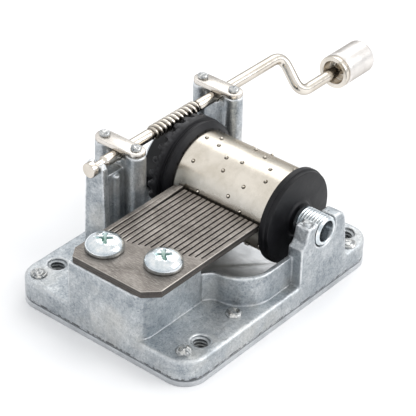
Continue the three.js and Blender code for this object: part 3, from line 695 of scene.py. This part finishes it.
def cap_rivet(name, seat):
    """A stud head on a strap, with a ring and a dimple left by the closing punch."""
    r = (box_mm(name)[1].x - box_mm(name)[0].x) / 2
    shank, wall_top = STRAP_STUD["shank"], seat + STRAP_STUD["wall"]

    def profile(low, high):
        rise = high.z + STRAP_STUD["crown"] - wall_top
        rows = [(low.z, 0), (low.z, shank), (seat - 0.1, shank), (seat - 0.02, r * 0.92), (wall_top, r)]
        for i in range(21):
            share = 1 - i / 20
            dip = STRAP_STUD["groove"] * math.exp(-((share - STRAP_STUD["groove_at"]) / 0.12) ** 2)
            dip += STRAP_STUD["dimple"] * math.exp(-(share / 0.22) ** 2)
            rows.append((wall_top + rise * math.sqrt(max(1 - share ** 3, 0)) - dip, r * share))
        return rows

    headed_stud(name, PEENED, "rivet_metal", "frame", profile,
                lambda x, y: 0.12 * noise.noise(Vector((x, y, r + seat)) * 2.6), 48)


# -------- comb


def comb():
    """Steel comb, with one tooth caught as it is being lifted by the drum."""
    low, high = box_mm("comb")
    pitch = (high.x - low.x) / COMB["teeth"]

    def root(x):
        share = clamp((x - low.x - COMB["root_corner"]) / (high.x - low.x - COMB["root_corner"]))
        return low.y + COMB["root_left"] + share * (COMB["root_right"] - COMB["root_left"])

    outline = [
        (low.x + COMB["chamfer_left"], low.y), (high.x - COMB["chamfer_right"], low.y),
        (high.x, low.y + COMB["chamfer_right"]), (high.x, high.y),
    ]
    samples = [i / 10 for i in range(11)]
    for i in range(COMB["teeth"] - 1, 0, -1):
        x = low.x + i * pitch
        right, left = x + COMB["slot"] / 2, x - COMB["slot"] / 2
        outline += [(right, high.y + t * (root(x) - high.y)) for t in samples]
        outline += [(left, root(x) + t * (high.y - root(x))) for t in samples]
    outline += [(low.x, high.y + t * (root(low.x) - high.y)) for t in samples]
    outline += [(low.x, low.y + COMB["side_chamfer"])]
    edge, middle = COMB["edge"], (low.z + high.z) / 2
    levels = [(low.z, edge), (low.z + edge, 0), (middle - 0.1, 0), (middle, COMB["shear_line"])]
    levels += [(middle + 0.1, 0), (high.z - edge - 0.1, 0), (high.z - edge, 0), (high.z, edge)]
    bm = bmesh.new()
    slab(bm, [[Vector(point) for point in outline]], levels)
    lifted = low.x + COMB["lifted_tooth"] * pitch
    for vert in bm.verts:
        if lifted < vert.co.x < lifted + pitch and vert.co.y > root(lifted):
            vert.co.z += COMB["lift"] * ((vert.co.y - root(lifted)) / (high.y - root(lifted))) ** 2
    # Painted shade and highlight: everything below the top rim is marked "deep", which darkens the comb's
    # sides and underside as shade; the rim of the top in front of the teeth is marked for a painted
    # highlight.
    under, rim = bm.verts.layers.float.new("deep"), bm.verts.layers.float.new("wear_and_highlight")
    for vert in bm.verts:
        vert[under] = clamp((high.z - edge - vert.co.z) / 0.1)
        vert[rim] = 0.7 if abs(high.z - edge - vert.co.z) < 0.01 and vert.co.y < root(low.x) else 0
    piece("steel_comb", bm, "frame", COMB_STEEL, "comb_steel", "comb", sharp=30)


def lead_weights():
    """The lead blocks under the bass teeth, with their edges softened."""
    for i in range(1, 6):
        bm = from_cad(f"lead_weight_{i}")
        sharp = [edge for edge in bm.edges if edge.calc_face_angle(0) > 0.3]
        bmesh.ops.bevel(bm, geom=sharp, offset=LEAD_EDGE, segments=3, profile=0.5, affect="EDGES")
        piece(f"bass_weight_{i}", bm, "frame", LEAD, "lead", f"lead_weight_{i}")


def comb_screws():
    """Two domed screws with ragged crossed recesses, each turned to its own angle."""
    seat, shank = box_mm("comb")[1].z, SCREW["shank"]

    def profile(low, high):
        r = (high.x - low.x) / 2
        rows = [(low.z, 0), (low.z, SCREW["tip"]), (low.z + 0.5, shank), (seat - 0.05, shank)]
        rows += [(seat + 0.02, r - 0.16), (seat + 0.08, r - 0.05), (seat + SCREW["wall"], r)]
        shoulder = [TURN / 4 * (1 - i / 24) for i in range(17)]
        outs = [math.sin(a) for a in shoulder]
        outs += [outs[-1] * (1 - i / 56) for i in range(1, 57)]
        for out in outs:
            up = SCREW["rim"] + (1 - SCREW["rim"]) * math.sqrt(max(1 - out ** 3, 0))
            rows.append((seat + up * SCREW["height"], r * out))
        return rows

    def recess(spin):
        def depth(x, y):
            deepest = 0
            for arm in (spin, spin + TURN / 4):
                along = abs(x * math.cos(arm) + y * math.sin(arm))
                across = abs(y * math.cos(arm) - x * math.sin(arm))
                ragged = SCREW["ragged"] * noise.noise(Vector((x, y, spin)) * 2.2)
                inside = soft((SCREW["arm_half"] + ragged - across) / 0.16 + 0.5)
                inside *= soft((SCREW["arm"] + 3 * ragged - along) / 0.4 + 0.5)
                deepest = max(deepest, inside * (SCREW["depth"] - 0.5 * along))
            scratch = 0.03 * noise.noise(Vector((x, y, spin)) * 3) * soft((2.2 - math.hypot(x, y)) / 0.8)
            return deepest + scratch
        return depth

    for side, spin in SCREW["spin"].items():
        headed_stud(f"comb_screw_{side}", PLATING, "zinc_plating", "frame", profile, recess(spin), 168)


# -------- drum


def pin_places():
    """(x, angle) of each drum pin, from the CAD drum's points that stand above its surface."""
    tube = (box_mm("drum_tube")[1].z - DRUM_AXIS.z) - DRUM["pin_height"]
    groups = []
    for vert in frame["nodes"]["drum_tube"].data.vertices:
        point = vert.co / MM
        out = Vector((0, point.y - DRUM_AXIS.y, point.z - DRUM_AXIS.z))
        if out.length < tube + DRUM["pin_height"] / 2:
            continue
        near = next((group for group in groups if (group[0] - point).length < 4 * DRUM["pin_r"]), None)
        if near:
            near.append(point)
        else:
            groups.append([point])
    for group in groups:
        middle = sum(group, Vector()) / len(group)
        yield middle.x, math.atan2(middle.y - DRUM_AXIS.y, middle.z - DRUM_AXIS.z)


def drum_r():
    """Outside radius of the drum's tube."""
    ends = box_mm("end_disc")
    return (ends[1].z - ends[0].z) / 2 - DRUM["below_disc"]


def drum_tube():
    """The drum's tube and its pins, with painted shade round their feet."""
    low, high = box_mm("drum_tube")
    r = drum_r()
    inner = r - DRUM["wall"]
    bm = bmesh.new()
    profile = rounded([(low.x, r), (high.x, r), (high.x, inner), (low.x, inner)], DRUM["edge"], True)
    rows = [(low.x + (high.x - low.x) * i / 40, r) for i in range(1, 40)]
    at = next(i for i, point in enumerate(profile) if point[0] > 0)
    lathe(bm, profile[:at] + [Vector(row) for row in rows] + profile[at:], "X", DRUM_AXIS, 160, closed=True)

    def height_above(place):
        return math.hypot(place.y - DRUM_AXIS.y, place.z - DRUM_AXIS.z) - r

    axis = Vector((1, 0, 0))
    for x, angle in pin_places():
        out = Vector((0, math.sin(angle), math.cos(angle)))
        side = Vector((0, math.cos(angle), -math.sin(angle)))
        foot = Vector((x, DRUM_AXIS.y, DRUM_AXIS.z))
        rings = []
        for up, wide in PIN_OUTLINE:
            middle = foot + out * (r + up)
            rings.append([middle + (side * math.sin(a) + axis * math.cos(a)) * wide for a in around(14)])
        skin(bm, rings)
    # Painted shade: a dark ring on the tube round each pin's foot.
    darken(bm, lambda place: 0.9 if 0.002 < height_above(place) < 0.1 else 0)
    piece("pinned_drum", bm, "drum", DRUM_NICKEL, "drum_nickel", "drum_tube")


def gear_angles():
    """Angles round the crown gear, close together where a tooth's flanks turn."""
    step = TURN / GEAR["teeth"]
    mesh_r = SHAFT_AXIS.z - DRUM_AXIS.z
    land = GEAR["tip_flat"] / 2 / mesh_r
    turns = [-land, 0, land, land + GEAR["slope"] * 0.33 / mesh_r, land + GEAR["slope"] * 0.66 / mesh_r,
             land + GEAR["slope"] / mesh_r]
    turns += [step * share for share in (0.36, 0.43, 0.5, 0.57, 0.64)]
    turns += [step - land - GEAR["steep"] / mesh_r, step - land - GEAR["steep"] * 0.5 / mesh_r]
    return [i * step + turn for i in range(GEAR["teeth"]) for turn in turns]


def gear_floor(angle):
    """How deep the crown is cut at an angle: a narrow tip, a flank each side, and a flat root between."""
    step = TURN / GEAR["teeth"]
    mesh_r = SHAFT_AXIS.z - DRUM_AXIS.z
    from_tooth = (angle / step - round(angle / step)) * step * mesh_r
    flank = GEAR["slope"] if from_tooth > 0 else GEAR["steep"]
    down = clamp((abs(from_tooth) - GEAR["tip_flat"] / 2) / flank)
    return GEAR["tip"] + down * (GEAR["root"] - GEAR["tip"])


def gear_cap():
    """The black crown gear: its teeth, the groove behind them, its flange and the spigot in the drum."""
    low, high = box_mm("gear_cap")
    r = (high.z - low.z) / 2
    seat, tube, bore = box_mm("drum_tube")[0].x - FIT_GAP, drum_r(), BUSHING["bore"]
    inner = tube - DRUM["wall"] - FIT_GAP
    tip, rim, core, flange = GEAR["tip"], GEAR["rim"], GEAR["core"], GEAR["flange_r"]
    waist, hollow = r - GEAR["groove"], inner - GEAR["spigot_wall"]
    spigot, web = seat + GEAR["spigot"], seat + GEAR["web"]
    profile = rounded([
        (low.x, bore), (low.x, core), (tip, core), (tip, GEAR["inner"]), (tip, GEAR["chamfer_r"]),
        (tip + GEAR["chamfer"], r), (rim - 1.15, r), (rim - 1.0, waist), (rim - 0.72, waist),
        (rim - 0.45, flange), (rim, flange), (seat, tube + GEAR["lip"]), (seat, inner), (spigot, inner),
        (spigot, hollow), (web, hollow), (web, bore),
    ], GEAR["edge"], closed=True, steps=3)

    def toothed(along, out, angle):
        in_crown = out > GEAR["inner"] - 0.2 and along < GEAR["root"] + 0.6
        return (max(along, gear_floor(angle)) if in_crown else along), out

    bm = bmesh.new()
    lathe(bm, profile, "X", DRUM_AXIS, gear_angles(), closed=True, shape=toothed)
    # Painted highlight: the crown's teeth are marked to be painted lighter in patches.
    wear_and_highlight = bm.verts.layers.float.new("wear_and_highlight")
    for vert in bm.verts:
        out = math.hypot(vert.co.y - DRUM_AXIS.y, vert.co.z - DRUM_AXIS.z)
        if vert.co.x < GEAR["root"] + 0.1 and out > GEAR["inner"] + 0.1:
            vert[wear_and_highlight] = 1.0
    piece("crown_gear", bm, "drum", PLASTIC, "black_plastic", "gear_cap", sharp=35)


def end_disc():
    """The black end of the drum: a wide band, a stepped face and a low boss round the axle."""
    low, high = box_mm("end_disc")
    r = (high.z - low.z) / 2
    x0 = box_mm("drum_tube")[1].x + FIT_GAP
    front_r, hub, bore = r - DISC["step"], DISC["hub"], BUSHING["bore"]
    inner = drum_r() - DRUM["wall"] - FIT_GAP
    band, face = x0 + DISC["band"], high.x - DISC["boss"]
    profile = rounded([
        (low.x, bore), (low.x, inner), (x0, inner), (x0, r), (band, r), (band + 0.06, front_r),
        (face, front_r), (face, hub + 0.5), (face + 0.05, hub), (high.x, hub - 0.3), (high.x, bore),
    ], DISC["edge"], closed=True)
    bm = bmesh.new()
    lathe(bm, profile, "X", DRUM_AXIS, 160, closed=True)
    piece("drum_end", bm, "drum", PLASTIC, "black_plastic", "end_disc", sharp=50)


def drum_axle():
    """The plain rod that the drum turns on, painted dark as shade at its open end."""
    low, high = box_mm("drum_axle")
    r = (high.z - low.z) / 2
    profile = rounded([(low.x, 0), (low.x, r), (high.x, r), (high.x, 0)], AXLE["edge"])
    bm = bmesh.new()
    lathe(bm, profile, "X", DRUM_AXIS, 64)
    darken(bm, lambda place: place.x > high.x - AXLE["dark"])
    piece("axle_rod", bm, "drum", STEEL, "plain_steel", "drum_axle")


def threaded_bushing():
    """Bushing with a fine outside thread, a plain collar next to the drum and a bright bevelled end."""
    low, high = box_mm("threaded_bushing")
    r, bore = (high.z - low.z) / 2, BUSHING["bore"]
    collar, groove = low.x + BUSHING["collar"], low.x + BUSHING["collar"] + BUSHING["groove"]
    end, rows = high.x - BUSHING["end"], BUSHING["rows"]

    def threaded(along, out, angle):
        if not groove < along < end or out < r - 0.3:
            return along, out
        turn = (along / BUSHING["pitch"] - angle / TURN) % 1
        crest = abs(turn - 0.5) * 2
        return along, r - BUSHING["thread"] * soft(crest * 1.3 - 0.15)

    undercut = r - BUSHING["groove_depth"]
    profile = [(low.x, bore), (low.x, r - 0.12), (low.x + 0.12, r), (collar, r)]
    profile += [(collar + 0.05, undercut), (groove, undercut)]
    profile += [(groove + (end - groove) * (i + 0.5) / rows, r) for i in range(rows)]
    profile += [(end + 0.02, r - 0.05), (high.x - 0.06, r - 0.34), (high.x, r - 0.4), (high.x, bore + 0.2),
                (high.x - 0.05, bore + 0.12), (high.x - 0.2, bore)]
    bm = bmesh.new()
    lathe(bm, profile, "X", DRUM_AXIS, 96, closed=True, shape=threaded)

    # Painted shade: the bore and the thread's roots are darkened, the bevelled end is not.
    def shade(place):
        out = math.hypot(place.y - DRUM_AXIS.y, place.z - DRUM_AXIS.z)
        if out < bore + 0.05:
            return 0.75
        return 0.6 * clamp((r - 0.04 - out) / BUSHING["thread"]) if place.x < end else 0

    darken(bm, shade)
    piece("bushing", bm, "frame", PLATING, "zinc_plating", "threaded_bushing", sharp=50)


# -------- crank and knob


def worm_r(along, angle):
    """Radius of the two-start worm; a tooth of the gear sits in one of its grooves at rest."""
    lead = (SHAFT_AXIS.z - DRUM_AXIS.z) * TURN / GEAR["teeth"]
    phase = ((along - DRUM_AXIS.y) / lead - angle / TURN + 0.25) * WORM["starts"] + 0.5
    from_crest = abs(phase - round(phase)) * lead / WORM["starts"]
    end = clamp(min(along - WORM["y0"], WORM["y1"] - along) / 0.5)
    rise = soft((WORM["crest"] - from_crest) / WORM["flank"]) * end
    return WORM["core"] + (WORM["r"] - WORM["core"]) * rise


def worm_shade(place):
    """1 in the worm's grooves, which are painted dark as shade, falling to 0 on its crests."""
    out = math.hypot(place.x - SHAFT_AXIS.x, place.z - SHAFT_AXIS.z)
    if not WORM["y0"] < place.y < WORM["y1"]:
        return 0
    return clamp((WORM["r"] - 0.06 - out) / (WORM["r"] - WORM["core"]) * 1.3)


def crank_route():
    """Points and directions along the crank, from its straight shaft to its end."""
    arm = KNOB_AXIS - SHAFT_AXIS
    across = Vector((arm.x, 0, arm.z))
    y, bend = CRANK["bend_y"], CRANK["bend"]
    base = Vector((SHAFT_AXIS.x, 0, SHAFT_AXIS.z))
    first, second = base + Vector((0, y, 0)), base + across + Vector((0, y, 0))
    along, down = Vector((0, bend, 0)), across.normalized() * bend
    route = []
    for start, corner, end in ((first - along, first, first + down), (second - down, second, second + along)):
        for i in range(17):
            t = i / 16
            point = (1 - t) ** 2 * start + 2 * t * (1 - t) * corner + t * t * end
            heading = ((1 - t) * (corner - start) + t * (end - corner)).normalized()
            route.append((point, heading))
    return route


def crank_shaft():
    """One bent rod: retaining head, neck, worm, straight shaft, arm and the pin that the knob turns on."""
    low = box_mm("crank_shaft")[0]
    angles = around(56)
    place = turner("Y", (SHAFT_AXIS.x, 0, SHAFT_AXIS.z))
    front = rounded([
        (low.y, 0), (low.y, HEAD["r"]), (HEAD["y1"], HEAD["r"]), (HEAD["y1"] + 0.1, HEAD["neck_r"]),
        (HEAD["neck_y1"], HEAD["neck_r"]), (HEAD["neck_y1"] + 0.35, SHAFT_R), (WORM["y0"] - 0.4, SHAFT_R),
        (WORM["y0"], WORM["core"]),
    ], 0.14)
    rings = []
    for along, r in front:
        rings.append([place(along, r, angle) for angle in angles] if r > 0.001 else [place(along, 0, 0)])
    rows = WORM["rows"]
    for i in range(rows + 1):
        along = WORM["y0"] + (WORM["y1"] - WORM["y0"]) * i / rows
        rings.append([place(along, worm_r(along, angle), angle) for angle in angles])
    rings += [[place(WORM["y1"] + 0.4 + i * 3.2, SHAFT_R, angle) for angle in angles] for i in range(6)]
    route = crank_route()
    last = route[-1][0]
    end_y, end_r = CRANK["end_y"], CRANK["end_r"]
    tail = [(end_y - 5.5, SHAFT_R), (end_y - 0.2, SHAFT_R), (end_y - 0.15, end_r)]
    tail += [(end_y + 0.5, end_r), (end_y + 0.68, end_r - 0.2)]
    stops = [(point, heading, SHAFT_R) for point, heading in route]
    stops += [(Vector((last.x, along, last.z)), Vector((0, 1, 0)), r) for along, r in tail]
    for point, heading, r in stops:
        turn = Vector((0, 1, 0)).rotation_difference(heading)
        across, up = turn @ Vector((1, 0, 0)), turn @ Vector((0, 0, 1))
        rings.append([point + (across * math.sin(a) + up * math.cos(a)) * r for a in angles])
    bm = bmesh.new()
    skin(bm, rings)
    darken(bm, worm_shade)
    piece("crank_rod", bm, "crank", CRANK_NICKEL, "crank_nickel", "crank_shaft", sharp=50)


def knob():
    """The turning knob: an inner sleeve that bears on the crank's pin, and a bright cover over it."""
    low, high = box_mm("knob_collar")
    shell_low, shell_high = box_mm("knob_shell")
    r = (shell_high.z - shell_low.z) / 2
    ring, inner = low.y + KNOB["ring"], r - KNOB["wall"] - FIT_GAP
    open_end = ring + KNOB["groove"]
    sleeve = rounded([
        (low.y, KNOB["mouth"]), (low.y, r), (ring, r), (ring, inner), (high.y, inner), (high.y, KNOB["bore"]),
        (high.y - KNOB["bearing"], KNOB["bore"]), (low.y + KNOB["mouth_depth"], KNOB["mouth"]),
    ], KNOB["edge"], closed=True)
    bm = bmesh.new()
    lathe(bm, sleeve, "Y", KNOB_AXIS, 112, closed=True)
    piece("knob_sleeve", bm, "knob", CRANK_NICKEL, "crank_nickel", "knob_collar", sharp=60)
    wall, end = KNOB["wall"], shell_high.y
    shell = [Vector((open_end, r - wall)), Vector((open_end, r - 0.1)), Vector((open_end + 0.1, r))]
    shell += rounded([(open_end + 1, r), (end, r), (end, 0)], 0.6, steps=8)
    shell += [Vector((end - KNOB["end_wall"], 0)), Vector((end - KNOB["end_wall"], r - wall))]
    bm = bmesh.new()
    lathe(bm, shell, "Y", KNOB_AXIS, 128, closed=True)
    piece("knob_sleeve_cover", bm, "knob", KNOB_NICKEL, "knob_nickel", "knob_shell", sharp=60)


# -------- camera, light and floor


def add_camera():
    """A long lens, well above and to the right of the comb's front."""
    azimuth, elevation, roll = math.radians(39.5), math.radians(34.62), math.radians(1.45)
    distance, target, aim = 304.3, Vector((0, 0, 11)), Vector((0.46, 1.83, 12.62))
    back = Vector((
        math.sin(azimuth) * math.cos(elevation),
        -math.cos(azimuth) * math.cos(elevation),
        math.sin(elevation),
    ))
    place = target + back * distance
    data = bpy.data.cameras.new("camera")
    data.lens, data.sensor_width = 169.4, 36
    data.clip_start, data.clip_end = 0.01, 10
    camera = bpy.data.objects.new("camera", data)
    camera.rotation_mode = "QUATERNION"
    camera.location = place * MM
    tilt = Matrix.Rotation(roll, 3, "Z").to_quaternion()
    camera.rotation_quaternion = (aim - place).to_track_quat("-Z", "Y") @ tilt
    bpy.context.scene.collection.objects.link(camera)
    bpy.context.scene.camera = camera


def add_light(name, place, aim, size, watts, colour=(1, 1, 1)):
    """A rectangular lamp at a place, in metres, turned to face its aim."""
    data = bpy.data.lights.new(name, "AREA")
    data.shape, data.size, data.size_y = "RECTANGLE", size[0], size[1]
    data.energy, data.color = watts, colour
    light = bpy.data.objects.new(name, data)
    light.location = place
    light.rotation_euler = (Vector(aim) - Vector(place)).to_track_quat("-Z", "Y").to_euler()
    bpy.context.scene.collection.objects.link(light)


def light_tent():
    """A white tent: bright overhead, dimmer and slightly blue towards the horizon."""
    world = bpy.data.worlds.new("tent")
    bpy.context.scene.world = world
    world.use_nodes = True
    nodes, links = world.node_tree.nodes, world.node_tree.links
    direction = nodes.new("ShaderNodeTexCoord")
    parts = nodes.new("ShaderNodeSeparateXYZ")
    ramp = nodes.new("ShaderNodeValToRGB")
    stops = [(0.0, (0.62, 0.64, 0.67)), (0.3, (0.9, 0.92, 0.95)), (0.7, (1.0, 1.0, 1.0))]
    while len(ramp.color_ramp.elements) < len(stops):
        ramp.color_ramp.elements.new(0.5)
    for element, (place, colour) in zip(ramp.color_ramp.elements, stops):
        element.position, element.color = place, (*colour, 1)
    links.new(direction.outputs["Generated"], parts.inputs[0])
    links.new(parts.outputs["Z"], ramp.inputs["Fac"])
    links.new(ramp.outputs["Color"], nodes["Background"].inputs["Color"])
    nodes["Background"].inputs["Strength"].default_value = 1.05


def add_floor():
    """White paper under the movement."""
    bm = bmesh.new()
    bmesh.ops.create_grid(bm, x_segments=8, y_segments=8, size=1.5)
    mesh = bpy.data.meshes.new("floor")
    bm.to_mesh(mesh)
    bm.free()
    floor = bpy.data.objects.new("floor", mesh)
    look = Look("white_paper", Roughness=0.9, Specular_IOR_Level=0.1)
    tone = look.ramp(look.noise(0.05, 3), (0.3, (0.93, 0.935, 0.945)), (0.7, (0.95, 0.95, 0.955)))
    mesh.materials.append(look.finish(Base_Color=tone))
    bpy.context.scene.collection.objects.link(floor)


cast_frame()
bottom_plate()
hole_threads()
base_studs()
cap_plates()
comb()
lead_weights()
comb_screws()
drum_tube()
gear_cap()
end_disc()
drum_axle()
threaded_bushing()
crank_shaft()
knob()

add_camera()
add_light("key", (-0.18, 0.4, 0.45), (0, 0, 0.01), (0.5, 0.4), 0.75)
add_light("side", (0.5, 0.3, 0.42), (0, 0, 0.01), (0.45, 0.45), 1.8)
light_tent()
add_floor()
bpy.context.scene.view_settings.view_transform = "Standard"
